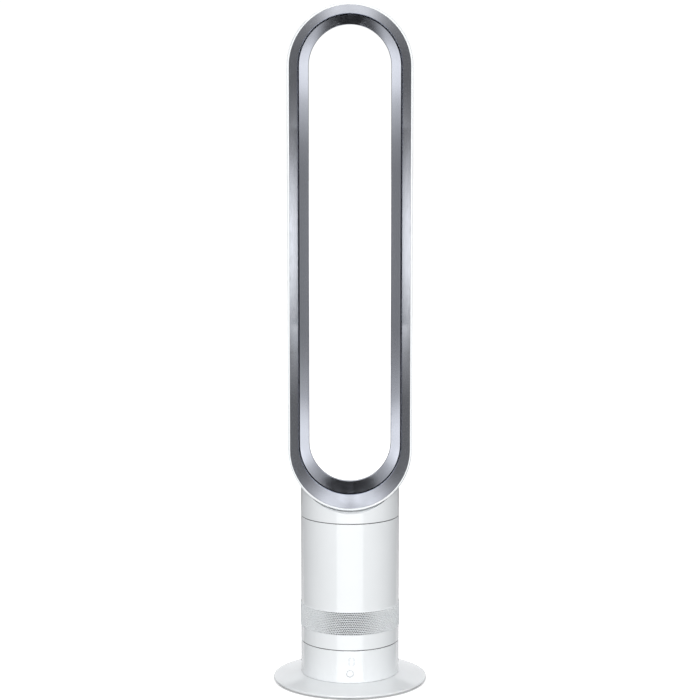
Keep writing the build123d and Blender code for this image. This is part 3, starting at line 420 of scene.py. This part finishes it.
def run_round_loop(outline, low, high):
    """Vertices and faces of a section run round the loop: two half rings and the straights between."""
    vertices, faces = [], []
    for start, middle in ((0.0, high), (math.pi, low)):
        for k in range(BEND_STEPS + 1):
            turn = start + math.pi * k / BEND_STEPS
            vertices += [(p.x * math.cos(turn), p.y, middle + p.x * math.sin(turn)) for p in outline]
    count = len(outline)
    for ring in range(0, len(vertices), count):
        following = (ring + count) % len(vertices)
        for k in range(count):
            after = (k + 1) % count
            faces.append((ring + k, following + k, following + after, ring + after))
    return vertices, faces


# How deep the figure is set into the wall
NUMERAL_ROOT = 0.5 * MM


def numeral_bars(sizes, radius):
    """Vertices and faces of a seven-segment nought: six flat bars with pointed ends, set into the wall."""
    vertices, faces = [], []
    half_wide, half_high = (sizes.width - sizes.stroke) / 2, (sizes.height - sizes.stroke) / 2
    corners = [(-half_wide, half_high), (half_wide, half_high), (half_wide, 0.0)]
    corners += [(half_wide, -half_high), (-half_wide, -half_high), (-half_wide, 0.0)]
    for start, end in zip(corners, corners[1:] + corners[:1]):
        start, end = Vector(start), Vector(end)
        along = (end - start).normalized()
        across = Vector((-along.y, along.x)) * sizes.stroke / 2
        first, last = start + along * sizes.gap / 2, end - along * sizes.gap / 2
        shoulder = along * sizes.stroke / 2
        outline = [first, first + shoulder - across, last - shoulder - across]
        outline += [last, last - shoulder + across, first + shoulder + across]
        base, count = len(vertices), len(outline)
        for level in (radius + sizes.proud, radius - NUMERAL_ROOT):
            for p in outline:
                vertices.append(on_column(level, (sizes.shift + p.x) / radius, sizes.middle + p.y))
        faces.append(tuple(range(base, base + count)))
        faces.append(tuple(range(base + 2 * count - 1, base + count - 1, -1)))
        for k in range(count):
            after = (k + 1) % count
            faces.append((base + k, base + count + k, base + count + after, base + after))
    return vertices, faces


# A cell of the perforated band: points on its border and on its hole, steps along its lower edge, and
# where round the hole the points begin
CELL_POINTS = 12
CELL_STEPS = 4
HOLE_START = -math.radians(150)
# Heights closer than this are one point
SAME_HEIGHT = 0.001 * MM


def perforated_band(sizes, outer, bottom, top, spigot_outer):
    """Vertices and faces of the inlet band: staggered holes through a thin wall, spigots above and below.

    Every cell of the wall has twelve points on its border and twelve on its hole, so that cells of
    neighbouring rows, half a cell apart, share their points.
    """
    vertices, faces, index = [], [], {}
    quarters = sizes.columns * CELL_STEPS
    inner = outer - sizes.wall
    low, high = bottom + sizes.margin, top - sizes.margin
    row_height = (high - low) / sizes.rows

    def point(radius, step, height):
        """A shared border point, step counted in quarter cells."""
        key = (radius, round(step) % quarters, round(height / SAME_HEIGHT))
        if key not in index:
            index[key] = len(vertices)
            vertices.append(on_column(radius, TURN * step / quarters, height))
        return index[key]

    def border(radius, left, row):
        """The twelve border points of a cell, from its lower left corner towards the right."""
        below, middle, above = [low + row_height * (row + part) for part in (0, 0.5, 1)]
        right = left + CELL_STEPS
        lower = [point(radius, left + k, below) for k in range(CELL_STEPS + 1)]
        upper = [point(radius, right - k, above) for k in range(CELL_STEPS + 1)]
        return lower + [point(radius, right, middle)] + upper + [point(radius, left, middle)]

    def hole(radius, left, row):
        """The twelve points of a cell's hole."""
        centre_angle = TURN * (left + CELL_STEPS / 2) / quarters
        centre_height = low + row_height * (row + 0.5)
        first = len(vertices)
        for k in range(CELL_POINTS):
            turn = HOLE_START + TURN * k / CELL_POINTS
            angle = centre_angle + sizes.hole_radius * math.cos(turn) / outer
            vertices.append(on_column(radius, angle, centre_height + sizes.hole_radius * math.sin(turn)))
        return list(range(first, first + CELL_POINTS))

    def bridge(first, second):
        """Quads between two closed rows of points."""
        count = len(first)
        for k in range(count):
            after = (k + 1) % count
            faces.append((first[k], first[after], second[after], second[k]))

    for row in range(sizes.rows):
        for column in range(sizes.columns):
            left = CELL_STEPS * column + CELL_STEPS // 2 * (row % 2)
            front_hole, back_hole = hole(outer, left, row), hole(inner, left, row)
            bridge(border(outer, left, row), front_hole)
            bridge(front_hole, back_hole)
            bridge(back_hole, border(inner, left, row))

    def ring(radius, height):
        """A full ring of shared points."""
        return [point(radius, step, height) for step in range(quarters)]

    spigot_inner = spigot_outer - sizes.spigot_wall
    for edge, limit, way in ((high, top, 1), (low, bottom, -1)):
        profile = [
            (outer, edge),
            (outer, limit - way * sizes.chamfer),
            (outer - sizes.chamfer, limit),
            (spigot_outer, limit),
            (spigot_outer, limit + way * sizes.spigot_length),
            (spigot_inner, limit + way * sizes.spigot_length),
            (spigot_inner, edge),
            (inner, edge),
        ]
        rings = [ring(radius, height) for radius, height in profile]
        for lower, upper in zip(rings, rings[1:]):
            bridge(*((lower, upper) if way > 0 else (upper, lower)))
    return vertices, faces


class FAN_OT_shells(bpy.types.Operator):
    """Finishes the white shells of the loop, column and foot"""

    bl_idname = "fan.shells"
    bl_label = "White shells"

    def execute(self, context):
        shell = gloss_moulded_abs(context.scene.fan_finish.shell)
        dress(shell, "loop_casing", "loop_collar", "body_shell", "turntable")
        dress(shell, "base_housing", "base_plate", "power_button")
        return {"FINISHED"}


class FAN_OT_loop_silver(bpy.types.Operator):
    """Finishes the silver bevel and builds the silver wall inside the loop in one smooth run"""

    bl_idname = "fan.loop_silver"
    bl_label = "Silver of the loop"

    def execute(self, context):
        silver = satin_silver_lacquer(context.scene.fan_finish.silver)
        dress(silver, "loop_front_trim")
        trim_low, trim_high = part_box("loop_front_trim")
        outline = wall_section(context.scene.fan_wall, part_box("loop_inner_duct")[1].x)
        vertices, faces = run_round_loop(outline, trim_low.z + trim_high.x, trim_high.z - trim_high.x)
        wall = new_piece("loop_inner_wall", vertices, faces, silver, "column")
        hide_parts("loop_inner_duct")
        return {"FINISHED"}


class FAN_OT_inlet_grille(bpy.types.Operator):
    """Builds the finely perforated inlet band"""

    bl_idname = "fan.inlet_grille"
    bl_label = "Inlet grille"

    def execute(self, context):
        sizes = context.scene.fan_grille
        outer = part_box("inlet_grille")[1].x
        bottom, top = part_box("turntable")[1].z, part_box("body_shell")[0].z
        # The foam ring stands inside the lower spigot
        spigot_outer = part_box("intake_foam")[1].x + sizes.spigot_wall
        vertices, faces = perforated_band(sizes, outer, bottom, top, spigot_outer)
        # Satin-moulded ABS: without the shells' mirror-like sheen, so the holes read dark on an even white
        shell = context.scene.fan_finish.shell
        satin, _ = mottled("satin_moulded_abs", shell, 0.01, 2 * MM, (0.42, 0.5), 0.01 * MM, IOR=1.53)
        band = new_piece("inlet_grille_band", vertices, faces, satin, "column")
        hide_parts("inlet_grille")
        return {"FINISHED"}


class FAN_OT_numeral(bpy.types.Operator):
    """Sets the unlit figure into the front wall over the button"""

    bl_idname = "fan.numeral"
    bl_label = "Numeral"

    def execute(self, context):
        colour = context.scene.fan_finish.numeral
        vertices, faces = numeral_bars(context.scene.fan_numeral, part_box("base_housing")[1].x)
        # A thin translucent window in the white wall: a shade greyer than the wall, with the same gloss
        window, _ = mottled("moulded_opal_window", colour, 0.01, 8 * MM, (0.08, 0.12), 0.01 * MM, IOR=1.53)
        new_piece("display_numeral", vertices, faces, window, "base")
        return {"FINISHED"}


class FAN_OT_rubber_foam(bpy.types.Operator):
    """Finishes pads, seals, mounts, gland and foam"""

    bl_idname = "fan.rubber_foam"
    bl_label = "Rubber and foam"

    def execute(self, context):
        finish = context.scene.fan_finish
        # Mould-cured rubber: matt, with a fine cloudy bloom
        rubber, _ = mottled(
            "moulded_epdm_rubber", finish.rubber, 0.2, 1.2 * MM, (0.55, 0.78), 0.06 * MM
        )
        dress(rubber, "foot_pads", "cord_gland", "housing_seal", "housing_mounts", "motor_isolators")
        # The collar seal and the dust wiper are rings in the column's two seams; their dark rubber also
        # stands in as painted shade in the seam gaps
        dress(rubber, "collar_seal", "loop_gasket", "dust_wiper")
        dress(open_cell_foam(finish.foam), "intake_foam", "outlet_foam")
        return {"FINISHED"}


class FAN_OT_inner_works(bpy.types.Operator):
    """Finishes the motor, impeller, swing drive, electronics and fasteners"""

    bl_idname = "fan.inner_works"
    bl_label = "Inner works"

    def execute(self, context):
        finish = context.scene.fan_finish
        # Glass-filled nylon from a spark-eroded mould: even matt grain with small glints
        nylon, _ = mottled(
            "spark_textured_glass_nylon", finish.nylon, 0.15, 0.8 * MM, (0.45, 0.6), 0.03 * MM
        )
        dress(nylon, "base_deck", "button_switch", "led_display", "remote_receiver", "impeller_housing")
        dress(nylon, "inlet_bellmouth", "motor_bucket", "motor_bucket_cap", "diffuser_vanes")
        dress(nylon, "slot_spacers", "impeller")
        # The screen behind the grille's holes is a filter, and its dark nylon also stands in as painted
        # shade seen through the holes
        dress(woven_mesh(finish.nylon), "inlet_mesh")
        zinc = zinc_plated_steel(finish.zinc)
        dress(zinc, "base_screws", "deck_screws", "gear_screws", "collar_screws")
        dress(zinc, "oscillation_motor_screws", "base_weight", "retaining_ring", "drive_shaft")
        dress(zinc, "impeller_nut", "motor_shaft", "shaft_bearings")
        # Natural acetal: milky, waxy, slightly uneven in colour
        acetal, _ = mottled(
            "moulded_natural_acetal", finish.acetal, 0.04, 5.0 * MM, (0.32, 0.46), 0.02 * MM
        )
        dress(acetal, "thrust_ring", "drive_pinion", "ring_gear", "terminal_block")
        dress(laminated_core_steel(finish.iron), "motor_stator", "motor_rotor", "oscillation_motor")
        dress(solder_masked_board(finish.board), "control_board")
        return {"FINISHED"}


# Place, what it points at, and width and length
OVERHEAD_BOX = ((0, 0.7, 2.4), (0, 0, 0), (2.4, 2.4))
FRONT_BOX = ((0, -3.4, 1.0), (0, -0.05, 0.6), (1.4, 1.4))


def soft_box(name, place, target, size, radiance):
    """A soft box that lights matt surfaces and isn't seen in gloss."""
    light = bpy.data.lights.new(name, "AREA")
    light.shape = "RECTANGLE"
    light.size, light.size_y = size
    light.energy = radiance * math.pi * size[0] * size[1]
    lamp = bpy.data.objects.new(name, light)
    lamp.location = place
    lamp.rotation_euler = (Vector(target) - Vector(place)).to_track_quat("-Z", "Y").to_euler()
    lamp.visible_camera = False
    lamp.visible_glossy = False
    bpy.context.scene.collection.objects.link(lamp)


# Cards behind the loop that the silver mirrors. Their levels go by the distance from the loop's middle
# height, as a share of CARD_REACH, times levels by the distance from the middle plane, as a share of
# CARD_SIDE
CARD_MIDDLE = 0.63
CARD_REACH = 0.32
CARD_SIDE = 0.16
CARD_COLOUR = "FBFCFF"
BEVEL_LEVELS = ((0.0, 1.07), (0.12, 1.03), (0.31, 0.72), (0.48, 0.355), (0.64, 0.17), (0.80, 0.095))
BEVEL_SIDE = ((0.0, 0.57), (0.22, 0.72), (0.40, 0.70), (0.60, 1.0))
WALL_LEVELS = ((0.40, 0.155), (0.52, 0.194), (0.62, 0.29), (0.72, 0.40), (0.80, 0.60), (0.88, 0.66))
LOW_WALL_LEVELS = ((0.40, 0.157), (0.52, 0.185), (0.62, 0.25), (0.72, 0.32), (0.80, 0.52), (0.88, 0.65))
WALL_SIDE = (
    (0.14, 0.04),
    (0.29, 0.20),
    (0.40, 1.0),
    (0.46, 1.3),
    (0.50, 1.3),
    (0.56, 1.0),
    (0.74, 1.0),
    (0.81, 1.4),
)
FLAG_LEVELS = ((0.0, 0.010), (1.0, 0.014))
FLAG_SIDE = ((0.0, 1.0), (1.0, 0.8))
# The bevel's card is bright further up and down near the middle plane
BEVEL_LIFT = 0.12
LIFT_WIDTH = 0.1
# Spans from left to right
INNER_WINGS = ((-0.20, -0.0185), (0.0185, 0.20))
OUTER_WINGS = ((-0.20, -0.068), (0.068, 0.20))
SLAT_WINGS = ((-0.115, -0.020), (0.020, 0.115))
# Name, spans, first and last edge as depth and height, levels, side levels and lift
CARDS = (
    ("bevel_card", ((-0.24, 0.24),), (0.30, 0.20), (0.30, 1.00), BEVEL_LEVELS, BEVEL_SIDE, BEVEL_LIFT),
    ("duct_card", INNER_WINGS, (0.12, 0.46), (0.12, 1.02), WALL_LEVELS, WALL_SIDE, 0.0),
    ("low_duct_card", OUTER_WINGS, (0.12, 0.305), (0.12, 0.46), LOW_WALL_LEVELS, WALL_SIDE, 0.0),
    ("flag_card", ((-0.043, 0.043),), (0.20, 0.51), (0.20, 0.82), FLAG_LEVELS, FLAG_SIDE, 0.0),
    ("shelf_card", ((-0.10, 0.10),), (0.1215, 0.4785), (0.175, 0.470), FLAG_LEVELS, FLAG_SIDE, 0.0),
)
# Dark slats in front of the lower wings: level light passes between them, light from below doesn't
SLAT_COUNT = 12
SLAT_START = 0.463
SLAT_PITCH = 0.0085
SLAT_FRONT = 0.1155
SLAT_BACK = 0.1195
SLAT_FALL = 0.0007


def reflector(name, spans, first_edge, last_edge, levels, side_levels, lift, power):
    """A card between two level edges that only gloss sees, the same left and right."""
    vertices = []
    for left, right in spans:
        vertices += [(left, *first_edge), (right, *first_edge), (right, *last_edge), (left, *last_edge)]
    mesh = bpy.data.meshes.new(name)
    mesh.from_pydata(vertices, [], [tuple(range(4 * k, 4 * k + 4)) for k in range(len(spans))])
    material, tree, place = start_material(name + "_glow")
    axes = add_node(tree, "SeparateXYZ", {"Vector": place}).outputs
    side = add_node(tree, "Math", {0: axes["X"]}, operation="ABSOLUTE").outputs[0]
    from_middle = add_node(tree, "Math", {0: axes["Z"], 1: CARD_MIDDLE}, operation="SUBTRACT").outputs[0]
    away = add_node(tree, "Math", {0: from_middle}, operation="ABSOLUTE").outputs[0]
    rise = {"Value": side, "From Max": LIFT_WIDTH, "To Min": lift, "To Max": 0.0}
    raised = add_node(tree, "MapRange", rise, interpolation_type="SMOOTHSTEP").outputs["Result"]
    near = add_node(tree, "Math", {0: away, 1: raised}, operation="SUBTRACT").outputs[0]
    share = add_node(tree, "Math", {0: near, 1: CARD_REACH}, operation="DIVIDE").outputs[0]
    sideways = add_node(tree, "Math", {0: side, 1: CARD_SIDE}, operation="DIVIDE").outputs[0]
    stops = [(at, grey(level)) for at, level in levels]
    glow = add_node(tree, "ValToRGB", {"Fac": share}, stops).outputs[0]
    stops = [(at, grey(level)) for at, level in side_levels]
    fade = add_node(tree, "ValToRGB", {"Fac": sideways}, stops).outputs[0]
    both = add_node(tree, "Math", {0: glow, 1: fade}, operation="MULTIPLY").outputs[0]
    strength = add_node(tree, "Math", {0: both, 1: power}, operation="MULTIPLY").outputs[0]
    face = add_node(tree, "Emission", {"Strength": strength, "Color": linear(CARD_COLOUR)})
    add_node(tree, "OutputMaterial", {"Surface": face.outputs[0]})
    mesh.materials.append(material)
    card = bpy.data.objects.new(name, mesh)
    card.visible_camera = False
    card.visible_diffuse = False
    card.visible_shadow = False
    bpy.context.scene.collection.objects.link(card)


# Strength of the studio as gloss sees it, by degrees from the front round to the back
GLOSS_PEAK = 2.4
GLOSS_FRONT = (
    (0.0, (1.0, 1.0, 1.0)),
    (30.6, (1.0, 1.0, 1.0)),
    (31.4, (0.060, 0.060, 0.070)),
    (110.0, (0.042, 0.044, 0.056)),
)
GLOSS_STOPS = (
    *GLOSS_FRONT,
    (150.0, (0.130, 0.130, 0.140)),
    (161.0, (0.125, 0.125, 0.135)),
    (171.0, (0.035, 0.035, 0.038)),
    (180.0, (0.0, 0.0, 0.0)),
)
GLOSS_LOW_STOPS = (
    *GLOSS_FRONT,
    (134.0, (0.130, 0.130, 0.140)),
    (144.0, (0.420, 0.420, 0.430)),
    (160.0, (0.400, 0.400, 0.410)),
    (168.0, (0.035, 0.035, 0.038)),
    (180.0, (0.0, 0.0, 0.0)),
)
GLOSS_POLE = (0.420, 0.425, 0.460, 1.0)
GLOSS_BAND = (0.480, 0.480, 0.490, 1.0)
# Where these begin and are full, by the height or depth of a direction of length 1
LOW_STOPS_RANGE = {"From Min": -0.18, "From Max": -0.26}
POLE_RANGE = {"From Min": 0.78, "From Max": 0.96}
REAR_RANGE = {"From Min": -0.5, "From Max": -0.8}
BAND_HEIGHT = 0.18
BAND_RANGE = {"From Min": 0.28, "From Max": 0.22}
# The dome that lights matt surfaces is darker under the floor's level
DOME_RANGE = {"From Min": -0.6, "From Max": -0.2, "To Min": 0.3, "To Max": 0.5}
# A little over full white, so that the backdrop stays even
BACKDROP = 1.05


def studio_world(scene):
    """White backdrop for the camera, soft dome for matt light, dim room with a front strip for gloss."""
    world = bpy.data.worlds.new("white_studio")
    scene.world = world
    world.use_nodes = True
    world.cycles.sampling_method = "NONE"
    tree = world.node_tree
    tree.nodes.clear()
    way = add_node(tree, "TexCoord").outputs["Generated"]
    axes = add_node(tree, "SeparateXYZ", {"Vector": way}).outputs
    side = add_node(tree, "Math", {0: axes["X"]}, operation="ABSOLUTE").outputs[0]
    ahead = add_node(tree, "Math", {0: axes["Y"], 1: -1.0}, operation="MULTIPLY").outputs[0]
    angle = add_node(tree, "Math", {0: side, 1: ahead}, operation="ARCTAN2").outputs[0]
    share = add_node(tree, "Math", {0: angle, 1: math.pi}, operation="DIVIDE").outputs[0]
    belts = []
    for belt in (GLOSS_STOPS, GLOSS_LOW_STOPS):
        stops = [(degrees / 180, (*colour, 1.0)) for degrees, colour in belt]
        belts.append(add_node(tree, "ValToRGB", {"Fac": share}, stops).outputs["Color"])
    smooth = {"interpolation_type": "SMOOTHSTEP"}
    below = add_node(tree, "MapRange", {"Value": axes["Z"], **LOW_STOPS_RANGE}, **smooth).outputs["Result"]
    # Sockets 6 and 7 of a mix are its two colours and output 2 the mixed one
    around = add_node(tree, "Mix", {0: below, 6: belts[0], 7: belts[1]}, data_type="RGBA").outputs[2]
    steep = add_node(tree, "Math", {0: axes["Z"]}, operation="ABSOLUTE").outputs[0]
    pole = add_node(tree, "MapRange", {"Value": steep, **POLE_RANGE}, **smooth).outputs["Result"]
    dim = add_node(tree, "Mix", {0: pole, 6: around, 7: GLOSS_POLE}, data_type="RGBA").outputs[2]
    # A pale band low over the far floor, which the foot disc mirrors
    rear = add_node(tree, "MapRange", {"Value": ahead, **REAR_RANGE}, **smooth).outputs["Result"]
    rise = add_node(tree, "Math", {0: axes["Z"], 1: BAND_HEIGHT}, operation="SUBTRACT").outputs[0]
    off = add_node(tree, "Math", {0: rise}, operation="ABSOLUTE").outputs[0]
    band = add_node(tree, "MapRange", {"Value": off, **BAND_RANGE}, **smooth).outputs["Result"]
    shown = add_node(tree, "Math", {0: rear, 1: band}, operation="MULTIPLY").outputs[0]
    whole = add_node(tree, "Mix", {0: shown, 6: dim, 7: GLOSS_BAND}, data_type="RGBA").outputs[2]
    gloss = add_node(tree, "Background", {"Color": whole, "Strength": GLOSS_PEAK})
    level = add_node(tree, "MapRange", {"Value": axes["Z"], **DOME_RANGE}).outputs["Result"]
    dome = add_node(tree, "Background", {"Strength": level, "Color": linear(WHITE)})
    white = add_node(tree, "Background", {"Strength": BACKDROP, "Color": linear(WHITE)})
    ray = add_node(tree, "LightPath").outputs
    unseen = add_node(tree, "MixShader", {0: ray["Is Glossy Ray"], 1: dome.outputs[0], 2: gloss.outputs[0]})
    seen = add_node(tree, "MixShader", {0: ray["Is Camera Ray"], 1: unseen.outputs[0], 2: white.outputs[0]})
    add_node(tree, "OutputWorld", {"Surface": seen.outputs[0]})


# The floor glows outside the foot disc: none at the first, all at the second share of its radius
GLOW_START = 0.97
GLOW_FULL = 1.03


class FAN_OT_studio(bpy.types.Operator):
    """Sets up the pale floor, the soft light and the camera"""

    bl_idname = "fan.studio"
    bl_label = "Studio"

    def execute(self, context):
        scene = context.scene
        studio = scene.fan_studio
        scene.view_settings.view_transform = "Standard"
        half = studio.floor_half
        corners = [(-half, -half, 0.0), (half, -half, 0.0), (half, half, 0.0), (-half, half, 0.0)]
        mesh = bpy.data.meshes.new("studio_floor")
        mesh.from_pydata(corners, [], [(0, 1, 2, 3)])
        # Matt painted board, lit from below but for the patch that the foot disc stands on
        board, shader = mottled("matt_painted_board", studio.floor, 0.005, 0.3, (0.85, 0.95), 0.02 * MM)
        tree = board.node_tree
        place = add_node(tree, "TexCoord").outputs["Object"]
        reach = add_node(tree, "VectorMath", {0: place}, operation="LENGTH").outputs["Value"]
        edge = {"From Min": GLOW_START * cad_high.x, "From Max": GLOW_FULL * cad_high.x}
        lit = {"Value": reach, "To Max": studio.floor_glow, **edge}
        glow = add_node(tree, "MapRange", lit).outputs["Result"]
        tree.links.new(glow, shader.inputs["Emission Strength"])
        shader.inputs["Emission Color"].default_value = linear(WHITE)
        mesh.materials.append(board)
        floor = bpy.data.objects.new("studio_floor", mesh)
        floor.visible_glossy = False
        floor.visible_diffuse = False
        scene.collection.objects.link(floor)
        studio_world(scene)
        soft_box("overhead_box", *OVERHEAD_BOX, studio.overhead)
        soft_box("front_box", *FRONT_BOX, studio.front)
        for step in range(SLAT_COUNT):
            height = SLAT_START + SLAT_PITCH * step
            front_edge = (SLAT_FRONT, height)
            back_edge = (SLAT_BACK, height - SLAT_FALL)
            slat = ("louvre_slat", SLAT_WINGS, front_edge, back_edge, FLAG_LEVELS, FLAG_SIDE, 0.0)
            reflector(*slat, studio.card)
        for card in CARDS:
            reflector(*card, studio.card)
        lens = bpy.data.cameras.new("camera")
        lens.lens = studio.lens
        lens.sensor_width = 36.0
        camera = bpy.data.objects.new("camera", lens)
        camera.location = (0.0, -studio.camera_distance, studio.camera_height)
        camera.rotation_euler = (math.pi / 2 - studio.camera_tilt, 0.0, 0.0)
        scene.collection.objects.link(camera)
        scene.camera = camera
        return {"FINISHED"}


OPERATORS = (
    FAN_OT_shells,
    FAN_OT_loop_silver,
    FAN_OT_inlet_grille,
    FAN_OT_numeral,
    FAN_OT_rubber_foam,
    FAN_OT_inner_works,
    FAN_OT_studio,
)
SETTINGS = {
    "fan_finish": FinishSettings,
    "fan_wall": WallSettings,
    "fan_grille": GrilleSettings,
    "fan_numeral": NumeralSettings,
    "fan_studio": StudioSettings,
}


class VIEW3D_PT_tower_fan(bpy.types.Panel):
    """Lists the fan's settings and the steps that build it"""

    bl_label = "Tower fan"
    bl_space_type = "VIEW_3D"
    bl_region_type = "UI"
    bl_category = "Tower fan"

    def draw(self, context):
        for group in SETTINGS:
            box = self.layout.box()
            settings = getattr(context.scene, group)
            for name in SETTINGS[group].__annotations__:
                box.prop(settings, name)
        for operator in OPERATORS:
            self.layout.operator(operator.bl_idname)


def register():
    """Registers the settings, the operators and the panel."""
    for group, settings in SETTINGS.items():
        bpy.utils.register_class(settings)
        setattr(bpy.types.Scene, group, bpy.props.PointerProperty(type=settings))
    for made in (*OPERATORS, VIEW3D_PT_tower_fan):
        bpy.utils.register_class(made)


def unregister():
    """Takes back what register set up."""
    for made in (VIEW3D_PT_tower_fan, *reversed(OPERATORS)):
        bpy.utils.unregister_class(made)
    for group, settings in SETTINGS.items():
        delattr(bpy.types.Scene, group)
        bpy.utils.unregister_class(settings)


def main():
    """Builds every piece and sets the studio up."""
    register()
    for operator in OPERATORS:
        group, step = operator.bl_idname.split(".")
        getattr(getattr(bpy.ops, group), step)()


if __name__ == "__main__":
    main()
